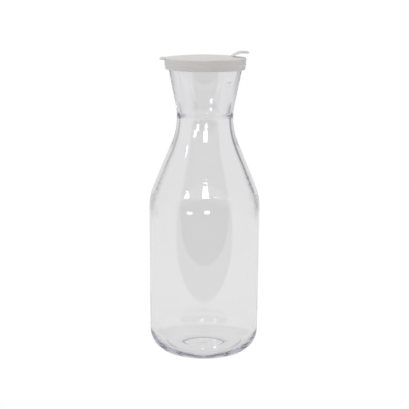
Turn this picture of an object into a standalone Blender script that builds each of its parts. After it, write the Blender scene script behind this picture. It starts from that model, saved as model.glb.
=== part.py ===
"""One-litre beverage decanter: a clear turned bottle with a flared mouth, and the white lid that caps it.

Frame: +Z up, origin on the bottle's axis in the plane it stands on, +X towards the lid's thumb tab.
Lengths are in metres.
"""

from math import asin, cos, hypot, pi, radians, sin, sqrt, tan

import bpy

MM = 0.001
GAP = 0.3 * MM
TURN_STEPS = 56
MERGE = 0.00001

# Outside of the bottle.
FOOT_RADIUS = 45.4 * MM
BODY_TOP_RADIUS = 46.2 * MM
HEEL_CURVE = 18.5 * MM
SHOULDER_CURVE = 49.6 * MM
SHOULDER_ANGLE = radians(22.6)
CONE_BOW = radians(2.2)
WAIST_RADIUS = 23.3 * MM
WAIST_HEIGHT = 199.0 * MM
WAIST_CURVE = 55.2 * MM
MOUTH_ANGLE = radians(11.6)

# Walls of the bottle, with a ring inside the mouth that is thickest just above the waist.
BODY_WALL = 2.0 * MM
NECK_WALL = 3.0 * MM
INNER_SHOULDER_CURVE = 45.0 * MM
INNER_WAIST_CURVE = 72.0 * MM
RING_EXTRA = 2.1 * MM
RING_LOW = 198.0 * MM
RING_HIGH = 204.5 * MM

# Floor: level, with a heel inside that leaves the corner thicker than the wall.
FLOOR_HEIGHT = 5.0 * MM
INNER_HEEL_CURVE = 15.5 * MM
INNER_HEEL_CENTRE = 19.5 * MM
INNER_HEEL_FILLET = 1.0 * MM

# Underside: a flat standing ring, a shallow recess, a deeper middle and the gate's stub.
RING_WIDTH = 2.9 * MM
RECESS_SLOPE = 5.0 * MM
RECESS_DEPTH = 1.2 * MM
MIDDLE_RADIUS = 17.6 * MM
MIDDLE_SLOPE = 1.3 * MM
MIDDLE_DEPTH = 2.3 * MM
GATE_RADIUS = 1.7 * MM
GATE_SLOPE = 0.7 * MM
GATE_LENGTH = 0.8 * MM

# Lid: a domed plate with a skirt that has a low bead and draws in to its foot.
LID_TOP = 248.0 * MM
LID_CROWN = 2.0 * MM
LID_PLATE = 1.5 * MM
LID_RADIUS = 33.6 * MM
LID_EDGE_CURVE = 1.4 * MM
SKIRT_BOTTOM = 238.2 * MM
SKIRT_RADIUS = 33.3 * MM
BEAD_TOP = 242.9 * MM
BEAD_BOTTOM = 241.2 * MM
BEAD_DEPTH = 0.2 * MM
BAND_RADIUS = 33.2 * MM
SKIRT_FOOT_RADIUS = 32.8 * MM
SKIRT_WALL = 1.3 * MM

# Thumb tab on the lid's top, and the small lip on the far side.
TAB_ROOT_X = 15.5 * MM
TAB_TIP_X = 35.7 * MM
TAB_RISE = 4.5 * MM
TAB_CLIMB = sqrt(0.5)
TAB_DROOP = 0.3 * MM
TAB_WIDTH = 14.0 * MM
TAB_THICKNESS = 1.7 * MM
LIP_ROOT_X = -31.0 * MM
LIP_TIP_X = -37.4 * MM
LIP_WIDTH = 20.0 * MM
LIP_THICKNESS = 1.7 * MM
LIP_DROP = 0.1 * MM
CORNER_REACH = 4.0 * MM
LEAF_STEPS = 16

CLEAR_PLASTIC = (0.83, 0.83, 0.85, 1.0)
WHITE_PLASTIC = (0.80, 0.79, 0.77, 1.0)


def clear_scene():
    for obj in list(bpy.data.objects):
        bpy.data.objects.remove(obj, do_unlink=True)


def plastic(name, colour, roughness, transmission):
    material = bpy.data.materials.new(name)
    material.use_nodes = True
    shader = material.node_tree.nodes["Principled BSDF"]
    shader.inputs["Base Color"].default_value = colour
    shader.inputs["Roughness"].default_value = roughness
    shader.inputs["Metallic"].default_value = 0.0
    shader.inputs["Transmission Weight"].default_value = transmission
    return material


def add_object(name, verts, edges, faces, material):
    mesh = bpy.data.meshes.new(name)
    mesh.from_pydata(verts, edges, faces)
    mesh.materials.append(material)
    obj = bpy.data.objects.new(name, mesh)
    bpy.context.collection.objects.link(obj)
    return obj


def arc(centre, radius, start, end, steps):
    """Points (r, z) round centre; an angle of 0 points outwards and a quarter turn points up."""
    points = []
    for i in range(steps + 1):
        angle = start + (end - start) * i / steps
        points.append((centre[0] + radius * cos(angle), centre[1] + radius * sin(angle)))
    return points


def ease(value, low, high):
    """0 below low, 1 above high, and a smooth S-curve between them."""
    share = min(1.0, max(0.0, (value - low) / (high - low)))
    return share * share * (3.0 - 2.0 * share)


def bowed(start, end, steps):
    """Points between the shoulder and the waist, bowed outwards so that the slope changes by CONE_BOW."""
    depth = hypot(end[0] - start[0], end[1] - start[1]) * CONE_BOW / 8
    points = []
    for i in range(1, steps):
        share = i / steps
        out = 4 * depth * share * (1.0 - share)
        r = start[0] + (end[0] - start[0]) * share + out * cos(SHOULDER_ANGLE)
        z = start[1] + (end[1] - start[1]) * share + out * sin(SHOULDER_ANGLE)
        points.append((r, z))
    return points


def inner_heel():
    """The inner face of the heel: a fillet at the floor's edge, then a curve up to the wall."""
    centre = (FOOT_RADIUS - BODY_WALL - INNER_HEEL_CURVE, INNER_HEEL_CENTRE)
    reach = INNER_HEEL_CURVE - INNER_HEEL_FILLET
    drop = INNER_HEEL_CENTRE - FLOOR_HEIGHT - INNER_HEEL_FILLET
    meeting = -asin(drop / reach)
    fillet_centre = (centre[0] + reach * cos(meeting), FLOOR_HEIGHT + INNER_HEEL_FILLET)
    fillet = arc(fillet_centre, INNER_HEEL_FILLET, -pi / 2, meeting, 2)
    return fillet + arc(centre, INNER_HEEL_CURVE, meeting, 0.0, 7)[1:]


def bottle_side(heel, top_radius, shoulder_curve, waist_radius, waist_curve):
    """One face of the bottle's wall, from its heel up to the end of the waist's curve."""
    waist_centre = (waist_radius + waist_curve, WAIST_HEIGHT)
    waist_start = pi + SHOULDER_ANGLE + CONE_BOW / 2
    waist = arc(waist_centre, waist_curve, waist_start, pi - MOUTH_ANGLE, 12)
    shoulder_end = SHOULDER_ANGLE - CONE_BOW / 2
    shoulder_top_radius = top_radius - shoulder_curve * (1.0 - cos(shoulder_end))
    cone_height = (shoulder_top_radius - waist[0][0]) / tan(SHOULDER_ANGLE)
    shoulder_height = waist[0][1] - cone_height - shoulder_curve * sin(shoulder_end)
    shoulder_centre = (top_radius - shoulder_curve, shoulder_height)
    shoulder = arc(shoulder_centre, shoulder_curve, 0.0, shoulder_end, 5)
    return heel + shoulder + bowed(shoulder[-1], waist[0], 4) + waist


def mouth_point(side, height):
    """The point at a height on the straight flare above the last point of a side."""
    radius, start = side[-1]
    return (radius + (height - start) * tan(MOUTH_ANGLE), height)


def ring_thickness(height, rim_height):
    """What the ring inside the mouth adds to the wall: all of it above the waist, nothing at the rim."""
    up = ease(height, RING_LOW, RING_HIGH)
    return RING_EXTRA * up * min(1.0, (rim_height - height) / (rim_height - RING_HIGH))


def bottle_profile():
    heel = arc((FOOT_RADIUS - HEEL_CURVE, HEEL_CURVE), HEEL_CURVE, -pi / 2, 0.0, 8)
    outside = bottle_side(heel, BODY_TOP_RADIUS, SHOULDER_CURVE, WAIST_RADIUS, WAIST_CURVE)
    inside = bottle_side(inner_heel(), BODY_TOP_RADIUS - BODY_WALL, INNER_SHOULDER_CURVE,
                         WAIST_RADIUS - NECK_WALL, INNER_WAIST_CURVE)

    rim_top = LID_TOP - LID_PLATE - GAP
    half_wall = NECK_WALL / 2 / cos(MOUTH_ANGLE)
    outer_end = mouth_point(outside, rim_top - half_wall)
    inside = [(r - ring_thickness(z, rim_top), z) for r, z in inside]
    rim = arc((outer_end[0] - half_wall, outer_end[1]), half_wall, pi, 0.0, 6)

    ring_inner = FOOT_RADIUS - HEEL_CURVE - RING_WIDTH
    underside = [
        (ring_inner, 0.0),
        (ring_inner - RECESS_SLOPE, RECESS_DEPTH),
        (MIDDLE_RADIUS + MIDDLE_SLOPE / 2, RECESS_DEPTH),
        (MIDDLE_RADIUS - MIDDLE_SLOPE / 2, MIDDLE_DEPTH),
        (GATE_RADIUS + GATE_SLOPE / 2, MIDDLE_DEPTH),
        (GATE_RADIUS - GATE_SLOPE / 2, MIDDLE_DEPTH - GATE_LENGTH),
        (0.0, MIDDLE_DEPTH - GATE_LENGTH),
    ]
    return [(0.0, FLOOR_HEIGHT)] + inside + rim + outside[::-1] + underside


def lid_profile():
    crown = []
    flat_radius = LID_RADIUS - LID_EDGE_CURVE
    for share in (0.0, 0.25, 0.5, 0.75):
        crown.append((flat_radius * share, LID_TOP + LID_CROWN * (1.0 - share ** 2)))
    edge = arc((flat_radius, LID_TOP - LID_EDGE_CURVE), LID_EDGE_CURVE, pi / 2, 0.0, 4)
    bead_middle = (BEAD_TOP + BEAD_BOTTOM) / 2
    skirt = [
        (SKIRT_RADIUS, BEAD_TOP),
        (SKIRT_RADIUS + BEAD_DEPTH, bead_middle),
        (BAND_RADIUS, BEAD_BOTTOM),
    ]
    half_foot = SKIRT_WALL / 2
    foot = arc((SKIRT_FOOT_RADIUS - half_foot, SKIRT_BOTTOM + half_foot), half_foot, 0.0, -pi, 6)
    inside = [
        (SKIRT_RADIUS - SKIRT_WALL, BEAD_TOP),
        (LID_RADIUS - SKIRT_WALL, LID_TOP - LID_PLATE),
        (0.0, LID_TOP - LID_PLATE),
    ]
    return crown + edge + skirt + foot + inside


def turned(name, profile, material):
    """A solid of revolution; the profile runs top to bottom on its outer side."""
    verts = [(r, 0.0, z) for r, z in profile]
    edges = [(i, i + 1) for i in range(len(profile) - 1)]
    obj = add_object(name, verts, edges, [], material)
    screw = obj.modifiers.new("turn", "SCREW")
    screw.axis = "Z"
    screw.angle = 2 * pi
    screw.steps = TURN_STEPS
    screw.render_steps = TURN_STEPS
    screw.use_merge_vertices = True
    screw.merge_threshold = MERGE
    screw.use_smooth_shade = True
    return obj


def tab_height(share):
    """Height of the tab's middle line: an S-curve up from inside the lid's plate, then a slight droop."""
    start = LID_TOP - LID_PLATE / 2
    rise = LID_TOP + TAB_RISE - start
    climb = min(1.0, share / TAB_CLIMB)
    droop = max(0.0, (share - TAB_CLIMB) / (1.0 - TAB_CLIMB))
    return start + rise * climb * climb * (3.0 - 2.0 * climb) - TAB_DROOP * droop ** 2


def lip_height(share):
    return LID_TOP - LIP_DROP - LIP_THICKNESS / 2


def leaf(name, root_x, tip_x, width, thickness, height_at, material):
    """A flat tongue along X with rounded corners at its tip; its middle line follows height_at."""
    verts = []
    length = abs(tip_x - root_x)
    for i in range(LEAF_STEPS + 1):
        share = sin(pi / 2 * i / LEAF_STEPS)
        x = root_x + (tip_x - root_x) * share
        into_corner = max(0.0, 1.0 - length * (1.0 - share) / CORNER_REACH)
        half = width / 2 - CORNER_REACH * (1.0 - sqrt(1.0 - into_corner ** 2))
        z = height_at(share)
        for side_y, side_z in ((-half, -1), (half, -1), (half, 1), (-half, 1)):
            verts.append((x, side_y, z + side_z * thickness / 2))
    faces = [(3, 2, 1, 0)]
    for i in range(LEAF_STEPS):
        base = 4 * i
        for k in range(4):
            n = (k + 1) % 4
            faces.append((base + k, base + n, base + 4 + n, base + 4 + k))
    last = 4 * LEAF_STEPS
    faces.append((last, last + 1, last + 2, last + 3))
    if tip_x < root_x:
        faces = [face[::-1] for face in faces]
    obj = add_object(name, verts, [], faces, material)
    obj.hide_render = True
    obj.display_type = "WIRE"
    return obj


def unite(target, pieces, name):
    collection = bpy.data.collections.new(name)
    for piece in pieces:
        collection.objects.link(piece)
    union = target.modifiers.new("union", "BOOLEAN")
    union.operation = "UNION"
    union.operand_type = "COLLECTION"
    union.collection = collection
    union.solver = "EXACT"


def build():
    clear_scene()
    clear = plastic("clear_plastic", CLEAR_PLASTIC, 0.03, 1.0)
    white = plastic("white_plastic", WHITE_PLASTIC, 0.35, 0.0)
    turned("bottle", bottle_profile(), clear)
    lid = turned("lid", lid_profile(), white)
    tab = leaf("thumb_tab", TAB_ROOT_X, TAB_TIP_X, TAB_WIDTH, TAB_THICKNESS, tab_height, white)
    lip = leaf("lip", LIP_ROOT_X, LIP_TIP_X, LIP_WIDTH, LIP_THICKNESS, lip_height, white)
    unite(lid, [tab, lip], "lid_additions")


build()
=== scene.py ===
from math import asin, copysign, cos, hypot, pi, radians, sin, sqrt, tan

import bmesh
import bpy
from mathutils import Euler, Matrix, Vector


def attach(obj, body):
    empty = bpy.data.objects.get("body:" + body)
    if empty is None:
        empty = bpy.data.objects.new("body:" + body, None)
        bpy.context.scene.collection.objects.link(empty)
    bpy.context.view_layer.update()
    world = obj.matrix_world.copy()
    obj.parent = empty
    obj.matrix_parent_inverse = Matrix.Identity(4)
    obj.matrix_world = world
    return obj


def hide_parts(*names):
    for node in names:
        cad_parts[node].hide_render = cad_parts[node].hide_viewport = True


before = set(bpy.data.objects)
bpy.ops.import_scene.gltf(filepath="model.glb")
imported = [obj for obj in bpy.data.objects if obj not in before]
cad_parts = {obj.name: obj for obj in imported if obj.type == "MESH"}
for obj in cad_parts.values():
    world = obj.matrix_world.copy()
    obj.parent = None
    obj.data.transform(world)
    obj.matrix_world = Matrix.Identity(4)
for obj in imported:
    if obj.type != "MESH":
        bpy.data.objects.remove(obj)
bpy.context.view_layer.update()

# An empty one-litre decanter of clear plastic with its white push-fit lid, on a pale floor.
# Lengths are in metres; the bottle's axis is Z and the lid's thumb tab points along +X.

MM = 0.001

# Bottle, outside.
FOOT_RADIUS = 45.4 * MM
BODY_TOP_RADIUS = 46.2 * MM
HEEL_CURVE = 18.5 * MM
SHOULDER_CURVE = 49.6 * MM
SHOULDER_ANGLE = radians(22.6)
CONE_BOW = radians(2.2)
WAIST_RADIUS = 23.3 * MM
WAIST_HEIGHT = 199.0 * MM
WAIST_CURVE = 55.2 * MM
MOUTH_ANGLE = radians(11.6)

# Bottle, walls: thin in the body, thicker in the cone, thickest in a ring just above the waist, and a thick
# heel round a level floor.
BODY_WALL = 2.0 * MM
NECK_WALL = 3.0 * MM
INNER_SHOULDER_CURVE = 45.0 * MM
INNER_WAIST_CURVE = 72.0 * MM
RING_EXTRA = 2.1 * MM
RING_LOW = 198.0 * MM
RING_HIGH = 204.5 * MM
INNER_HEEL_CURVE = 15.5 * MM
INNER_HEEL_CENTRE = 19.5 * MM
INNER_HEEL_FILLET = 1.0 * MM
FLOOR_HEIGHT = 5.0 * MM

# Bottle, underside: a standing ring, a recess in two steps and the gate's stub.
RING_WIDTH = 2.9 * MM
RECESS_DEPTH = 1.2 * MM
RECESS_WIDTH = 6.0 * MM
MIDDLE_RADIUS = 17.6 * MM
MIDDLE_DEPTH = 2.3 * MM
MIDDLE_WIDTH = 1.3 * MM
GATE_RADIUS = 1.7 * MM
GATE_LENGTH = 0.8 * MM
GATE_WIDTH = 0.7 * MM

# The level mark on the front right of the neck: a short raised line with a fainter one under it. The last
# three are shares: of its width and length that are flat on top, and of its relief that the second line has.
MARK_HEIGHT = 228.7 * MM
MARK_AZIMUTH = radians(-47.5)
MARK_LENGTH = 7.2 * MM
MARK_LINE = 0.8 * MM
MARK_RELIEF = 0.35 * MM
MARK_GAP = 3.3 * MM
MARK_FLAT_WIDTH = 0.4
MARK_FLAT_LENGTH = 0.85
MARK_SECOND_LINE = 0.4

# Lid.
LID_TOP = 248.0 * MM
LID_CROWN = 2.0 * MM
LID_PLATE = 1.5 * MM
LID_RADIUS = 33.6 * MM
LID_EDGE_CURVE = 1.4 * MM
SKIRT_BOTTOM = 238.2 * MM
SKIRT_RADIUS = 33.3 * MM
BEAD_TOP = 242.9 * MM
BEAD_BOTTOM = 241.2 * MM
BEAD_DEPTH = 0.3 * MM
BAND_RADIUS = 33.05 * MM
SKIRT_FOOT_RADIUS = 32.8 * MM
SKIRT_WALL = 1.3 * MM
GAP = 0.3 * MM

# Thumb tab and lip. The powers square the section's ends and flatten its top; 1 is an ellipse.
TAB_ROOT_X = 15.5 * MM
TAB_TIP_X = 35.7 * MM
TAB_RISE = 4.5 * MM
TAB_CLIMB = sqrt(0.5)
TAB_DROOP = 0.3 * MM
TAB_WIDTH = 14.0 * MM
TAB_THICKNESS = 1.66 * MM
LIP_ROOT_X = -31.0 * MM
LIP_TIP_X = -37.4 * MM
LIP_WIDTH = 20.0 * MM
LIP_THICKNESS = 1.7 * MM
LIP_DROP = 0.1 * MM
CORNER_REACH = 4.0 * MM
LEAF_SIDE_POWER = 0.16
LEAF_TOP_POWER = 0.5
LEAF_THINNEST = 0.12

# How finely the pieces are made.
BOTTLE_TURN = 144
LID_TURN = 192
ARC_STEP = 1.0 * MM
LONG_PACE = 3.0 * MM
SHORT_PACE = 0.05 * MM
STEP_PACES = 10
CLOSE = 0.01 * MM
CROWN_STEPS = 12
SKIRT_STEPS = 61
LEAF_STEPS = 40
LEAF_RING = 24
LEAF_CREASE = radians(40)
MERGE_DISTANCE = 0.001 * MM

# Clear plastic: its grey violet cast, and the relief of a moulded wall as depths and heights.
REFRACTION = 1.585
CAST = (0.50, 0.49, 0.60, 1.0)
ABSORPTION = 14.0
RELIEF_SCALE = 150.0
STREAK_DEPTH = 0.05 * MM
STREAK_RUN = (20.0 * MM, 50.0 * MM)
RIPPLE_DEPTH = 0.1 * MM
RIPPLE_BOTTOM = (124.0 * MM, 136.0 * MM)
RIPPLE_TOP = (148.0 * MM, 158.0 * MM)

# White plastic.
WHITE_DARKER = (0.765, 0.75, 0.74, 1.0)
WHITE_PALER = (0.805, 0.79, 0.78, 1.0)
WHITE_ROUGHNESS = (0.30, 0.40)
GRAIN_DEPTH = 0.05 * MM
GLOW_DEPTH = 2.0 * MM

# Studio. Angles start straight behind the bottle: the pale backdrop, a darker gap on each side of it, pale
# sides and a dark front. The floor takes up the gaps from GAP_REACH on and is dark in front of SHEET_FRONT.
BACKDROP = 0.80
LEFT_GAP_LEVEL = 0.50
RIGHT_GAP_LEVEL = 0.30
FRONT_LEVEL = 0.03
OVERHEAD = 0.95
OVERHEAD_RUN = (0.55, 0.9)
GAP_START = radians(34)
GAP_END = radians(54)
GAP_BLUR = radians(3)
FRONT_START = radians(118)
FRONT_END = radians(126)
FLOOR_SIZE = 40.0
FLOOR_DROP = 0.1 * MM
GAP_REACH = 0.45
SHEET_FRONT = -0.224
SHEET_BLUR = 0.01
# Painted contact shadow: within SHADE_START to SHADE_END of the axis the floor glows at SHADE_LEVEL.
SHADE_LEVEL = 0.90
SHADE_START = 60.0 * MM
SHADE_END = 64.0 * MM

# Lights: azimuth to the right of the camera in degrees, the lower and the upper edge as distance from the
# axis and height, the width, the brightness, and what the light reaches.
LIGHTS = {
    "window_box": (2.2, (0.273, 0.242), (0.428, 0.415), 0.085, 10.5, ("outside", "lid")),
    "left_box": (-37.0, (0.25, 0.226), (0.27, 0.276), 0.05, 10.0, ("outside",)),
    "far_left_strip": (-67.0, (8.0, 4.90), (8.0, 5.30), 0.10, 60.0, ("outside",)),
    "neck_fill": (0.0, (0.10, 0.165), (0.10, 0.190), 0.25, 0.9, ("outside",)),
    "neck_spot": (21.4, (0.105, 0.1685), (0.105, 0.1745), 0.014, 9.0, ("outside",)),
    "base_left": (-30.0, (0.312, 0.185), (0.312, 0.215), 0.06, 25.0, ("behind",)),
    "base_right": (6.0, (0.270, 0.185), (0.270, 0.215), 0.05, 25.0, ("behind",)),
    "lid_side": (-75.0, (1.00, 0.20), (1.00, 0.90), 0.60, 0.8, ("lid",)),
}

# Camera: what the photograph's outline gives.
CAMERA_DISTANCE = 928.9 * MM
CAMERA_HEIGHT = 302.3 * MM
CAMERA_PITCH = radians(10.79)
CAMERA_ROLL = radians(0.355)
FOCAL_PIXELS = 1126.4
FRAME_PIXELS = 409
SENSOR_MM = 36.0


class Nodes:
    """A node tree with short calls to add and join its nodes."""

    def __init__(self, tree):
        self.tree = tree
        self.count = 0

    def add(self, kind, values=None, **settings):
        node = self.tree.nodes.new(kind)
        node.location = (self.count % 8 * 190, -(self.count // 8) * 260)
        self.count += 1
        for key, value in settings.items():
            setattr(node, key, value)
        for key, value in (values or {}).items():
            self.feed(node.inputs[key], value)
        return node

    def feed(self, socket, value):
        if isinstance(value, bpy.types.NodeSocket):
            self.tree.links.new(value, socket)
        else:
            socket.default_value = value

    def math(self, operation, *values, clamp=False):
        node = self.add("ShaderNodeMath", operation=operation, use_clamp=clamp)
        for i, value in enumerate(values):
            self.feed(node.inputs[i], value)
        return node.outputs[0]

    def smooth(self, value, low, high, out_low=0.0, out_high=1.0):
        """Smooth ramp of a value between two limits."""
        node = self.add("ShaderNodeMapRange", interpolation_type="SMOOTHSTEP")
        for name, given in (("Value", value), ("From Min", low), ("From Max", high),
                            ("To Min", out_low), ("To Max", out_high)):
            self.feed(node.inputs[name], given)
        return node.outputs[0]


# Profiles

def arc(centre, radius, start, end, pace=ARC_STEP):
    """Points (r, z) round centre, about a pace apart; angle 0 is outwards, a quarter turn is up."""
    steps = max(10, round(abs(end - start) * radius / pace))
    points = []
    for i in range(steps + 1):
        angle = start + (end - start) * i / steps
        points.append((centre[0] + radius * cos(angle), centre[1] + radius * sin(angle)))
    return points


def line(start, end, step):
    """Points between two others, without the two themselves."""
    steps = max(1, round(hypot(end[0] - start[0], end[1] - start[1]) / step))
    points = []
    for i in range(1, steps):
        share = i / steps
        points.append((start[0] + (end[0] - start[0]) * share, start[1] + (end[1] - start[1]) * share))
    return points


def bowed(start, end):
    """Points between the shoulder and the waist; they bow outwards, and the slope changes by CONE_BOW."""
    length = hypot(end[0] - start[0], end[1] - start[1])
    depth = length * CONE_BOW / 8
    points = []
    for r, z in line(start, end, 2 * ARC_STEP):
        share = (z - start[1]) / (end[1] - start[1])
        out = 4 * depth * share * (1.0 - share)
        points.append((r + out * cos(SHOULDER_ANGLE), z + out * sin(SHOULDER_ANGLE)))
    return points


def inner_heel():
    """The inner face of the heel: a fillet at the floor's edge, then a curve close to the outer one."""
    centre = (FOOT_RADIUS - BODY_WALL - INNER_HEEL_CURVE, INNER_HEEL_CENTRE)
    reach = INNER_HEEL_CURVE - INNER_HEEL_FILLET
    drop = INNER_HEEL_CENTRE - FLOOR_HEIGHT - INNER_HEEL_FILLET
    meeting = -asin(drop / reach)
    fillet_centre = (centre[0] + reach * cos(meeting), FLOOR_HEIGHT + INNER_HEEL_FILLET)
    fillet = arc(fillet_centre, INNER_HEEL_FILLET, -pi / 2, meeting)
    return fillet + arc(centre, INNER_HEEL_CURVE, meeting, 0.0)[1:]


def bottle_side(heel, top_radius, shoulder_curve, waist_radius, waist_curve):
    """One face of the bottle's wall, from its heel up to the end of the waist's curve."""
    waist_centre = (waist_radius + waist_curve, WAIST_HEIGHT)
    waist_start = pi + SHOULDER_ANGLE + CONE_BOW / 2
    waist = arc(waist_centre, waist_curve, waist_start, pi - MOUTH_ANGLE, ARC_STEP / 2)
    shoulder_end = SHOULDER_ANGLE - CONE_BOW / 2
    shoulder_top_radius = top_radius - shoulder_curve * (1.0 - cos(shoulder_end))
    cone_height = (shoulder_top_radius - waist[0][0]) / tan(SHOULDER_ANGLE)
    shoulder_height = waist[0][1] - cone_height - shoulder_curve * sin(shoulder_end)
    shoulder_centre = (top_radius - shoulder_curve, shoulder_height)
    shoulder = arc(shoulder_centre, shoulder_curve, 0.0, shoulder_end)
    wall = line(heel[-1], shoulder[0], 6 * ARC_STEP)
    return heel + wall + shoulder + bowed(shoulder[-1], waist[0]) + waist


def mouth_point(side, height):
    """The point at a height on the straight flare above the last point of a side."""
    radius, start = side[-1]
    return (radius + (height - start) * tan(MOUTH_ANGLE), height)


def ease(value, low, high):
    """0 below low, 1 above high, and a smooth S-curve between them."""
    share = min(1.0, max(0.0, (value - low) / (high - low)))
    return share * share * (3.0 - 2.0 * share)


def stepped(radius, at, width):
    """1 inside a round step and 0 outside it; the step's slope is width wide, about a radius."""
    return 1.0 - ease(radius, at - width / 2, at + width / 2)


def ring_thickness(height, rim_height):
    """What the ring inside the mouth adds to the wall: all of it above the waist, nothing at the rim."""
    up = ease(height, RING_LOW, RING_HIGH)
    return RING_EXTRA * up * min(1.0, (rim_height - height) / (rim_height - RING_HIGH))


def underside_height(radius, ring_inner):
    """Height of the underside: the recess within the standing ring, its deeper middle and the gate."""
    recess = RECESS_DEPTH * stepped(radius, ring_inner - RECESS_WIDTH / 2, RECESS_WIDTH)
    middle = (MIDDLE_DEPTH - RECESS_DEPTH) * stepped(radius, MIDDLE_RADIUS, MIDDLE_WIDTH)
    gate = GATE_LENGTH * stepped(radius, GATE_RADIUS, GATE_WIDTH)
    return recess + middle - gate


def spread(start, end, steps):
    """Radii from start to end: steps (at, width) are crossed in short paces, the rest in long ones."""
    radii = [start]
    while radii[-1] < end - 2 * SHORT_PACE:
        pace = LONG_PACE
        for at, width in steps:
            off = radii[-1] - at
            if -width / 2 - CLOSE <= off < width / 2:
                pace = min(pace, width / STEP_PACES)
            elif off < 0:
                pace = min(pace, max(SHORT_PACE, -off - width / 2))
        radii.append(min(end, radii[-1] + pace))
    return radii


def bottle_profile():
    """The wall's outline as (r, z, outer), from the middle of the floor to the middle of the underside.

    Outer is 1 on the outer side, which carries the level mark.
    """
    heel = arc((FOOT_RADIUS - HEEL_CURVE, HEEL_CURVE), HEEL_CURVE, -pi / 2, 0.0)
    outside = bottle_side(heel, BODY_TOP_RADIUS, SHOULDER_CURVE, WAIST_RADIUS, WAIST_CURVE)
    inside = bottle_side(inner_heel(), BODY_TOP_RADIUS - BODY_WALL, INNER_SHOULDER_CURVE,
                         WAIST_RADIUS - NECK_WALL, INNER_WAIST_CURVE)
    rim_top = LID_TOP - LID_PLATE - GAP
    half_wall = NECK_WALL / 2 / cos(MOUTH_ANGLE)
    outer_end = mouth_point(outside, rim_top - half_wall)
    inner_end = (outer_end[0] - 2 * half_wall, outer_end[1])
    rim = arc((outer_end[0] - half_wall, outer_end[1]), half_wall, pi, 0.0)
    inside += line(inside[-1], inner_end, ARC_STEP)
    inside = [(r - ring_thickness(z, rim_top), z) for r, z in inside]
    outside += line(outside[-1], outer_end, MARK_LINE / 4)

    level_floor = [(r, FLOOR_HEIGHT) for r in spread(0.0, inside[0][0], ())[:-1]]
    foot_inner = FOOT_RADIUS - HEEL_CURVE
    ring_inner = foot_inner - RING_WIDTH
    steps = ((GATE_RADIUS, GATE_WIDTH), (MIDDLE_RADIUS, MIDDLE_WIDTH),
             (ring_inner - RECESS_WIDTH / 2, RECESS_WIDTH))
    underside = [(r, underside_height(r, ring_inner)) for r in spread(0.0, foot_inner, steps)[:-1]]
    points = [(r, z, 0.0) for r, z in level_floor + inside + rim]
    points += [(r, z, 1.0) for r, z in outside[::-1]]
    points += [(r, z, 0.0) for r, z in underside[::-1]]
    return points


def skirt_radius(height, top, bottom):
    """The skirt's outside: it tapers to a low bead, steps in under it and draws in to its foot."""
    if height > BEAD_TOP:
        share = (top - height) / (top - BEAD_TOP)
        return LID_RADIUS + (SKIRT_RADIUS - LID_RADIUS) * share
    middle = (BEAD_TOP + BEAD_BOTTOM) / 2
    if height > middle:
        return SKIRT_RADIUS + BEAD_DEPTH * (1.0 - ease(height, middle, BEAD_TOP))
    under = SKIRT_RADIUS + BEAD_DEPTH - BAND_RADIUS
    if height > BEAD_BOTTOM:
        return BAND_RADIUS + under * ease(height, BEAD_BOTTOM, middle)
    share = (BEAD_BOTTOM - height) / (BEAD_BOTTOM - bottom)
    return BAND_RADIUS + (SKIRT_FOOT_RADIUS - BAND_RADIUS) * share ** 2


def lid_profile():
    """The cap's outline as (r, z, outer): over the crown, down the skirt and back under the plate."""
    flat_radius = LID_RADIUS - LID_EDGE_CURVE
    crown = []
    for i in range(CROWN_STEPS):
        share = i / CROWN_STEPS
        crown.append((flat_radius * share, LID_TOP + LID_CROWN * (1.0 - share ** 2)))
    edge = arc((flat_radius, LID_TOP - LID_EDGE_CURVE), LID_EDGE_CURVE, pi / 2, 0.0)
    half_foot = SKIRT_WALL / 2
    foot = arc((SKIRT_FOOT_RADIUS - half_foot, SKIRT_BOTTOM + half_foot), half_foot, 0.0, -pi)
    skirt = []
    for i in range(1, SKIRT_STEPS):
        height = edge[-1][1] + (foot[0][1] - edge[-1][1]) * i / SKIRT_STEPS
        skirt.append((skirt_radius(height, edge[-1][1], foot[0][1]), height))
    inside = [
        (SKIRT_RADIUS - SKIRT_WALL, BEAD_TOP),
        (LID_RADIUS - SKIRT_WALL, LID_TOP - LID_PLATE),
        (0.0, LID_TOP - LID_PLATE),
    ]
    points = crown + edge + skirt + foot + inside
    return [(r, z, 0.0) for r, z in points]


# Geometry Nodes: a profile turned into a wall

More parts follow.
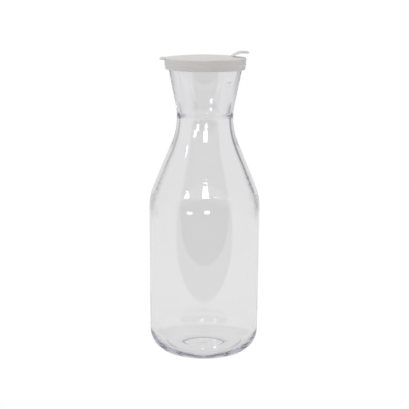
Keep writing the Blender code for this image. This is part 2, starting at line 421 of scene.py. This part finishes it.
def turning_tree():
    """Nodes that turn the points of a profile about Z, raise the level mark and close the seam."""
    tree = bpy.data.node_groups.new("turned_wall", "GeometryNodeTree")
    face = tree.interface
    face.new_socket("Geometry", in_out="OUTPUT", socket_type="NodeSocketGeometry")
    face.new_socket("Profile", in_out="INPUT", socket_type="NodeSocketGeometry")
    sizes = (("Steps Around", "NodeSocketInt", 96), ("Relief", "NodeSocketFloat", 0.0),
             ("Mark Height", "NodeSocketFloat", 0.0), ("Mark Azimuth", "NodeSocketFloat", 0.0),
             ("Mark Length", "NodeSocketFloat", 0.005), ("Mark Line", "NodeSocketFloat", 0.001),
             ("Mark Gap", "NodeSocketFloat", 0.003), ("Finish", "NodeSocketMaterial", None))
    for name, kind, value in sizes:
        socket = face.new_socket(name, in_out="INPUT", socket_type=kind)
        if value is not None:
            socket.default_value = value

    n = Nodes(tree)
    given = n.add("NodeGroupInput").outputs
    last = n.add("NodeGroupOutput")
    count = n.add("GeometryNodeAttributeDomainSize", {"Geometry": given["Profile"]}).outputs["Point Count"]
    around = n.math("ADD", given["Steps Around"], 1.0)
    grid = n.add("GeometryNodeMeshGrid", {"Size X": 1.0, "Size Y": 1.0, "Vertices X": count,
                                          "Vertices Y": around}).outputs["Mesh"]

    # Where a grid point lies along the profile and round the axis.
    position = n.add("GeometryNodeInputPosition").outputs[0]
    place = n.add("ShaderNodeSeparateXYZ", {"Vector": position}).outputs
    along = n.math("MULTIPLY", n.math("ADD", place["X"], 0.5), n.math("SUBTRACT", count, 1.0))
    index = n.math("ROUND", along)
    turn = n.math("MULTIPLY", n.math("ADD", place["Y"], 0.5), 2 * pi)
    point = n.add("GeometryNodeSampleIndex", data_type="FLOAT_VECTOR", domain="POINT")
    n.feed(point.inputs["Geometry"], given["Profile"])
    n.feed(point.inputs["Value"], position)
    n.feed(point.inputs["Index"], index)
    outer_name = n.add("GeometryNodeInputNamedAttribute", {"Name": "outer"}, data_type="FLOAT")
    outer = n.add("GeometryNodeSampleIndex", data_type="FLOAT", domain="POINT")
    n.feed(outer.inputs["Geometry"], given["Profile"])
    n.feed(outer.inputs["Value"], outer_name.outputs["Attribute"])
    n.feed(outer.inputs["Index"], index)
    at = n.add("ShaderNodeSeparateXYZ", {"Vector": point.outputs["Value"]}).outputs

    # The raised lines of the level mark.
    azimuth = n.math("WRAP", turn, pi, -pi)
    off_turn = n.math("ABSOLUTE", n.math("SUBTRACT", azimuth, given["Mark Azimuth"]))
    off_side = n.math("MULTIPLY", off_turn, at["X"])
    above = n.math("SUBTRACT", at["Z"], given["Mark Height"])
    off_first = n.math("ABSOLUTE", above)
    off_second = n.math("ABSOLUTE", n.math("ADD", above, given["Mark Gap"]))
    edge = n.math("MULTIPLY", given["Mark Line"], 0.5)
    flat = n.math("MULTIPLY", edge, MARK_FLAT_WIDTH)
    first = n.smooth(off_first, flat, edge, 1.0, 0.0)
    second = n.math("MULTIPLY", n.smooth(off_second, flat, edge, 1.0, 0.0), MARK_SECOND_LINE)
    across = n.math("ADD", first, second)
    end = n.math("MULTIPLY", given["Mark Length"], 0.5)
    lengthways = n.smooth(off_side, n.math("MULTIPLY", end, MARK_FLAT_LENGTH), end, 1.0, 0.0)
    raised = n.math("MULTIPLY", n.math("MULTIPLY", across, lengthways), outer.outputs["Value"])
    relief = n.math("MULTIPLY", raised, given["Relief"])

    radius = n.math("ADD", at["X"], relief)
    bare = n.add("ShaderNodeCombineXYZ", {"X": radius, "Z": at["Z"]}).outputs[0]
    turned = n.add("ShaderNodeVectorRotate", {"Vector": bare, "Angle": turn}, rotation_type="Z_AXIS")
    shaped = n.add("GeometryNodeSetPosition", {"Geometry": grid, "Position": turned.outputs[0]})
    closed = n.add("GeometryNodeMergeByDistance", {"Geometry": shaped.outputs[0],
                                                   "Distance": MERGE_DISTANCE})
    smooth = n.add("GeometryNodeSetShadeSmooth", {"Geometry": closed.outputs[0]})
    real = n.add("GeometryNodeRealizeInstances", {"Geometry": smooth.outputs[0]})
    dressed = n.add("GeometryNodeSetMaterial", {"Geometry": real.outputs[0], "Material": given["Finish"]})
    n.feed(last.inputs["Geometry"], dressed.outputs[0])
    return tree


def new_piece(name, mesh):
    obj = bpy.data.objects.new(name, mesh)
    bpy.context.scene.collection.objects.link(obj)
    return obj


def plain_copy(name, source):
    """A plain mesh of what an object's modifiers make, in place of that object."""
    graph = bpy.context.evaluated_depsgraph_get()
    made = source.evaluated_get(graph)
    mesh = bpy.data.meshes.new_from_object(made, preserve_all_data_layers=False, depsgraph=graph)
    bpy.data.objects.remove(source, do_unlink=True)
    mesh.name = name
    return new_piece(name, mesh)


def point_outwards(mesh):
    shape = bmesh.new()
    shape.from_mesh(mesh)
    if shape.calc_volume(signed=True) < 0:
        bmesh.ops.reverse_faces(shape, faces=shape.faces)
    shape.to_mesh(mesh)
    shape.free()


def turned_piece(name, profile, tree, inputs):
    """A plain mesh of a profile of points (r, z, outer), turned by the tree with its inputs by name."""
    mesh = bpy.data.meshes.new(name + "_profile")
    verts = [(r, 0.0, z) for r, z, _ in profile]
    edges = [(i, i + 1) for i in range(len(profile) - 1)]
    mesh.from_pydata(verts, edges, [])
    outer = mesh.attributes.new("outer", "FLOAT", "POINT")
    for i, point in enumerate(profile):
        outer.data[i].value = point[2]
    source = new_piece(name + "_profile", mesh)
    modifier = source.modifiers.new("turn", "NODES")
    modifier.node_group = tree
    for item in tree.interface.items_tree:
        if item.item_type == "SOCKET" and item.in_out == "INPUT" and item.name in inputs:
            modifier[item.identifier] = inputs[item.name]
    piece = plain_copy(name, source)
    point_outwards(piece.data)
    return piece


# Tab and lip of the lid

def tab_height(share):
    """Height of the tab's middle line: an S-curve up from inside the lid's plate, then a slight droop."""
    start = LID_TOP - LID_PLATE / 2
    rise = LID_TOP + TAB_RISE - start
    climb = min(1.0, share / TAB_CLIMB)
    droop = max(0.0, (share - TAB_CLIMB) / (1.0 - TAB_CLIMB))
    return start + rise * climb * climb * (3.0 - 2.0 * climb) - TAB_DROOP * droop ** 2


def lip_height(_share):
    """Height of the lip's middle line, which is level."""
    return LID_TOP - LIP_DROP - LIP_THICKNESS / 2


def bulged(value, power):
    """The power of a sine or cosine, with its own sign; what should be 0 is made 0."""
    if abs(value) < 1e-9:
        return 0.0
    return copysign(abs(value) ** power, value)


def leaf(name, root_x, tip_x, width, thickness, height_at):
    """A flat tongue along X with round edges and corners; its middle line follows height_at."""
    length = abs(tip_x - root_x)
    shape = bmesh.new()
    loops = []
    for i in range(LEAF_STEPS + 1):
        share = sin(pi / 2 * i / LEAF_STEPS)
        x = root_x + (tip_x - root_x) * share
        into_corner = max(0.0, 1.0 - length * (1.0 - share) / CORNER_REACH)
        half = width / 2 - CORNER_REACH * (1.0 - sqrt(1.0 - into_corner ** 2))
        into_tip = max(0.0, 1.0 - length * (1.0 - share) / (thickness / 2))
        thick = thickness / 2 * max(LEAF_THINNEST, sqrt(1.0 - into_tip ** 2))
        z = height_at(share)
        loop = []
        for k in range(LEAF_RING):
            angle = 2 * pi * k / LEAF_RING
            y = half * bulged(cos(angle), LEAF_SIDE_POWER)
            up = thick * bulged(sin(angle), LEAF_TOP_POWER)
            loop.append(shape.verts.new((x, y, z + up)))
        loops.append(loop)
    for a, b in zip(loops, loops[1:]):
        for k in range(LEAF_RING):
            m = (k + 1) % LEAF_RING
            shape.faces.new((a[k], a[m], b[m], b[k]))
    shape.faces.new(loops[0][::-1])
    shape.faces.new(loops[-1])
    bmesh.ops.recalc_face_normals(shape, faces=shape.faces)
    mesh = bpy.data.meshes.new(name)
    shape.to_mesh(mesh)
    shape.free()
    return new_piece(name, mesh)


def lid_piece(tree, finish):
    """The turned cap with its tab and lip, joined into one mesh."""
    cap = turned_piece("lid_cap", lid_profile(), tree, {"Steps Around": LID_TURN, "Finish": finish})
    tab = leaf("tab_cutter", TAB_ROOT_X, TAB_TIP_X, TAB_WIDTH, TAB_THICKNESS, tab_height)
    lip = leaf("lip_cutter", LIP_ROOT_X, LIP_TIP_X, LIP_WIDTH, LIP_THICKNESS, lip_height)
    for extra in (tab, lip):
        extra.data.materials.append(finish)
        union = cap.modifiers.new("union", "BOOLEAN")
        union.operation = "UNION"
        union.solver = "EXACT"
        union.object = extra
    lid = plain_copy("white_lid", cap)
    for extra in (tab, lip):
        bpy.data.objects.remove(extra, do_unlink=True)
    lid.data.shade_smooth()
    lid.data.set_sharp_from_angle(angle=LEAF_CREASE)
    return lid


# Materials

def ripples(n):
    """Normal of a moulded wall: faint upright streaks all over, and short ripples round the shoulder."""
    place = n.add("ShaderNodeTexCoord").outputs["Object"]
    height = n.add("ShaderNodeSeparateXYZ", {"Vector": place}).outputs["Z"]
    above_heel = n.smooth(height, *STREAK_RUN)
    below_top = n.smooth(height, *RIPPLE_TOP, 1.0, 0.0)
    at_shoulder = n.math("MULTIPLY", n.smooth(height, *RIPPLE_BOTTOM), below_top)
    normal = None
    for stretch, depth, where in (((1.0, 1.0, 0.08), STREAK_DEPTH, above_heel),
                                  ((1.0, 1.0, 3.0), RIPPLE_DEPTH, at_shoulder)):
        run = n.add("ShaderNodeVectorMath", {0: place, 1: stretch}, operation="MULTIPLY").outputs[0]
        waves = n.add("ShaderNodeTexNoise", {"Vector": run, "Scale": RELIEF_SCALE, "Detail": 1.0})
        relief = n.math("MULTIPLY", waves.outputs["Fac"], where)
        bump = n.add("ShaderNodeBump", {"Strength": 1.0, "Distance": depth, "Height": relief})
        if normal is not None:
            n.feed(bump.inputs["Normal"], normal)
        normal = bump.outputs[0]
    return normal


def clear_plastic():
    material = bpy.data.materials.new("clear_polycarbonate")
    material.use_nodes = True
    n = Nodes(material.node_tree)
    shader = material.node_tree.nodes["Principled BSDF"]
    output = material.node_tree.nodes["Material Output"]
    shader.inputs["Base Color"].default_value = (1.0, 1.0, 1.0, 1.0)
    shader.inputs["Roughness"].default_value = 0.0
    shader.inputs["IOR"].default_value = REFRACTION
    shader.inputs["Transmission Weight"].default_value = 1.0
    volume = n.add("ShaderNodeVolumeAbsorption", {"Color": CAST, "Density": ABSORPTION})
    n.feed(output.inputs["Volume"], volume.outputs[0])
    n.feed(shader.inputs["Normal"], ripples(n))
    return material


def white_plastic():
    material = bpy.data.materials.new("white_polyethylene")
    material.use_nodes = True
    n = Nodes(material.node_tree)
    shader = material.node_tree.nodes["Principled BSDF"]
    place = n.add("ShaderNodeTexCoord").outputs["Object"]
    cloud = n.add("ShaderNodeTexNoise", {"Vector": place, "Scale": 60.0, "Detail": 3.0})
    tint = n.add("ShaderNodeMix", data_type="RGBA")
    n.feed(tint.inputs["Factor"], cloud.outputs["Fac"])
    n.feed(tint.inputs["A"], WHITE_DARKER)
    n.feed(tint.inputs["B"], WHITE_PALER)
    n.feed(shader.inputs["Base Color"], tint.outputs["Result"])
    n.feed(shader.inputs["Roughness"], n.smooth(cloud.outputs["Fac"], 0.2, 0.8, *WHITE_ROUGHNESS))
    grain = n.add("ShaderNodeTexNoise", {"Vector": place, "Scale": 1800.0, "Detail": 2.0})
    relief = {"Strength": 0.15, "Distance": GRAIN_DEPTH, "Height": grain.outputs["Fac"]}
    bump = n.add("ShaderNodeBump", relief)
    n.feed(shader.inputs["Normal"], bump.outputs[0])
    shader.inputs["Subsurface Weight"].default_value = 0.5
    shader.inputs["Subsurface Radius"].default_value = (1.0, 0.99, 0.98)
    shader.inputs["Subsurface Scale"].default_value = GLOW_DEPTH
    return material


# Studio

def studio_level(n, x, y):
    """Brightness of the backdrop and its gaps by direction, and how far a direction lies in the dark front.

    The front counts as pale where it is seen straight through the bottle, which stays clear from behind.
    """
    away = n.math("ABSOLUTE", n.math("ARCTAN2", x, y))
    into_gap = n.smooth(away, GAP_START - GAP_BLUR, GAP_START + GAP_BLUR)
    out_of_gap = n.smooth(away, GAP_END - GAP_BLUR, GAP_END + GAP_BLUR)
    gap = n.math("SUBTRACT", into_gap, out_of_gap)
    gap_level = n.smooth(x, -0.1, 0.1, LEFT_GAP_LEVEL, RIGHT_GAP_LEVEL)
    path = n.add("ShaderNodeLightPath").outputs
    reflected = n.math("ADD", path["Glossy Depth"], path["Diffuse Depth"])
    outweighed = n.math("MULTIPLY", reflected, 100.0)
    bent_only = n.math("SUBTRACT", path["Transmission Depth"], outweighed, clamp=True)
    otherwise = n.math("SUBTRACT", 1.0, bent_only)
    front = n.math("MULTIPLY", n.smooth(away, FRONT_START, FRONT_END), otherwise)
    return n.smooth(gap, 0.0, 1.0, BACKDROP, gap_level), front


def unseen(n, studio):
    """Pure white for the camera's own rays, and the studio for all that the object reflects and bends."""
    straight = n.add("ShaderNodeLightPath").outputs["Is Camera Ray"]
    level = n.add("ShaderNodeMix", data_type="FLOAT")
    n.feed(level.inputs["Factor"], straight)
    n.feed(level.inputs["A"], studio)
    n.feed(level.inputs["B"], 1.0)
    return level.outputs["Result"]


def darkened(n, level, front):
    """A level, made FRONT_LEVEL as far as front says."""
    lit = n.math("MULTIPLY", level, n.math("SUBTRACT", 1.0, front))
    return n.math("ADD", lit, n.math("MULTIPLY", front, FRONT_LEVEL))


def floor():
    """A level sheet that glows evenly, with a painted contact shadow round the foot, where it glows a little
    darker.
    """
    mesh = bpy.data.meshes.new("floor")
    half = FLOOR_SIZE / 2
    corners = [(-half, -half), (half, -half), (half, half), (-half, half)]
    mesh.from_pydata([(x, y, -FLOOR_DROP) for x, y in corners], [], [(0, 1, 2, 3)])
    obj = new_piece("floor", mesh)
    material = bpy.data.materials.new("white_sheet")
    material.use_nodes = True
    tree = material.node_tree
    tree.nodes.remove(tree.nodes["Principled BSDF"])
    n = Nodes(tree)
    here = n.add("ShaderNodeTexCoord").outputs["Object"]
    place = n.add("ShaderNodeSeparateXYZ", {"Vector": here}).outputs
    side, front = studio_level(n, place["X"], place["Y"])
    squares = n.math("ADD", n.math("MULTIPLY", place["X"], place["X"]),
                     n.math("MULTIPLY", place["Y"], place["Y"]))
    far = n.smooth(squares, GAP_REACH ** 2, (2 * GAP_REACH) ** 2)
    # Painted contact shadow: the sheet's glow is darkened near the foot, not shaded by the bottle.
    shade = n.smooth(squares, SHADE_START ** 2, SHADE_END ** 2, SHADE_LEVEL, 1.0)
    side = n.math("ADD", BACKDROP, n.math("MULTIPLY", far, n.math("SUBTRACT", side, BACKDROP)))
    beyond = n.smooth(place["Y"], SHEET_FRONT - SHEET_BLUR, SHEET_FRONT + SHEET_BLUR, 1.0, 0.0)
    level = n.math("MULTIPLY", darkened(n, side, n.math("MULTIPLY", beyond, front)), shade)
    glow = n.add("ShaderNodeEmission", {"Color": (1.0, 1.0, 1.0, 1.0), "Strength": unseen(n, level)})
    n.feed(tree.nodes["Material Output"].inputs["Surface"], glow.outputs[0])
    mesh.materials.append(material)


def surroundings():
    """A pale studio, dark in front, where the camera stands."""
    world = bpy.data.worlds.new("studio")
    bpy.context.scene.world = world
    world.use_nodes = True
    tree = world.node_tree
    n = Nodes(tree)
    back = tree.nodes["Background"]
    towards = n.add("ShaderNodeTexCoord").outputs["Generated"]
    place = n.add("ShaderNodeSeparateXYZ", {"Vector": towards}).outputs
    side, front = studio_level(n, place["X"], place["Y"])
    studio = n.add("ShaderNodeMix", data_type="FLOAT")
    n.feed(studio.inputs["Factor"], n.smooth(place["Z"], *OVERHEAD_RUN))
    n.feed(studio.inputs["A"], darkened(n, side, front))
    n.feed(studio.inputs["B"], OVERHEAD)
    n.feed(back.inputs["Strength"], unseen(n, studio.outputs["Result"]))
    back.inputs["Color"].default_value = (1.0, 1.0, 1.0, 1.0)


def softbox(name, azimuth, low, high, width, brightness, reach):
    """A rectangle of light that faces the bottle, as LIGHTS gives it.

    It reaches what is named: the outside of the bottle, the faces behind that, or the lid.
    """
    turn = radians(azimuth)
    side = Vector((sin(turn), -cos(turn), 0.0))
    bottom = side * low[0] + Vector((0.0, 0.0, low[1]))
    top = side * high[0] + Vector((0.0, 0.0, high[1]))
    height = (top - bottom).length
    light = bpy.data.lights.new(name, "AREA")
    light.shape = "RECTANGLE"
    light.size = width
    light.size_y = height
    light.energy = brightness * width * height * pi
    obj = bpy.data.objects.new(name, light)
    bpy.context.scene.collection.objects.link(obj)
    obj.location = (bottom + top) / 2
    upwards = (top - bottom).normalized()
    across = Vector((cos(turn), sin(turn), 0.0))
    obj.rotation_euler = Matrix((across, upwards, across.cross(upwards))).transposed().to_euler()
    obj.visible_camera = False
    obj.visible_glossy = "outside" in reach
    obj.visible_transmission = "behind" in reach
    obj.visible_diffuse = "lid" in reach


def camera():
    data = bpy.data.cameras.new("camera")
    data.sensor_width = SENSOR_MM
    data.lens = FOCAL_PIXELS * SENSOR_MM / FRAME_PIXELS
    data.clip_start = 0.01
    data.clip_end = 100.0
    data.dof.use_dof = False
    obj = bpy.data.objects.new("camera", data)
    bpy.context.scene.collection.objects.link(obj)
    obj.location = (0.0, -CAMERA_DISTANCE, CAMERA_HEIGHT)
    look = Euler((pi / 2 - CAMERA_PITCH, 0.0, 0.0)).to_matrix()
    roll = Euler((0.0, 0.0, CAMERA_ROLL)).to_matrix()
    obj.rotation_euler = (look @ roll).to_euler()
    bpy.context.scene.camera = obj


def render_setup():
    """Plain view colours, and enough bounces for light to get through all four faces of the bottle."""
    scene = bpy.context.scene
    scene.view_settings.view_transform = "Standard"
    scene.view_settings.look = "None"
    scene.cycles.max_bounces = 128
    scene.cycles.transmission_bounces = 64
    scene.cycles.glossy_bounces = 128
    scene.cycles.transparent_max_bounces = 16
    scene.cycles.use_denoising = True


render_setup()
floor()
surroundings()
for name, light in LIGHTS.items():
    softbox(name, *light)
camera()

clear = clear_plastic()
white = white_plastic()
turning = turning_tree()
mark = {"Relief": MARK_RELIEF, "Mark Height": MARK_HEIGHT, "Mark Azimuth": MARK_AZIMUTH,
        "Mark Length": MARK_LENGTH, "Mark Line": MARK_LINE, "Mark Gap": MARK_GAP}
bottle = turned_piece("clear_bottle", bottle_profile(), turning,
                      {"Steps Around": BOTTLE_TURN, "Finish": clear, **mark})
lid = lid_piece(turning, white)
for piece, node, slot in ((bottle, "bottle", "clear_plastic"), (lid, "lid", "white_plastic")):
    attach(piece, "root")
    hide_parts(node)
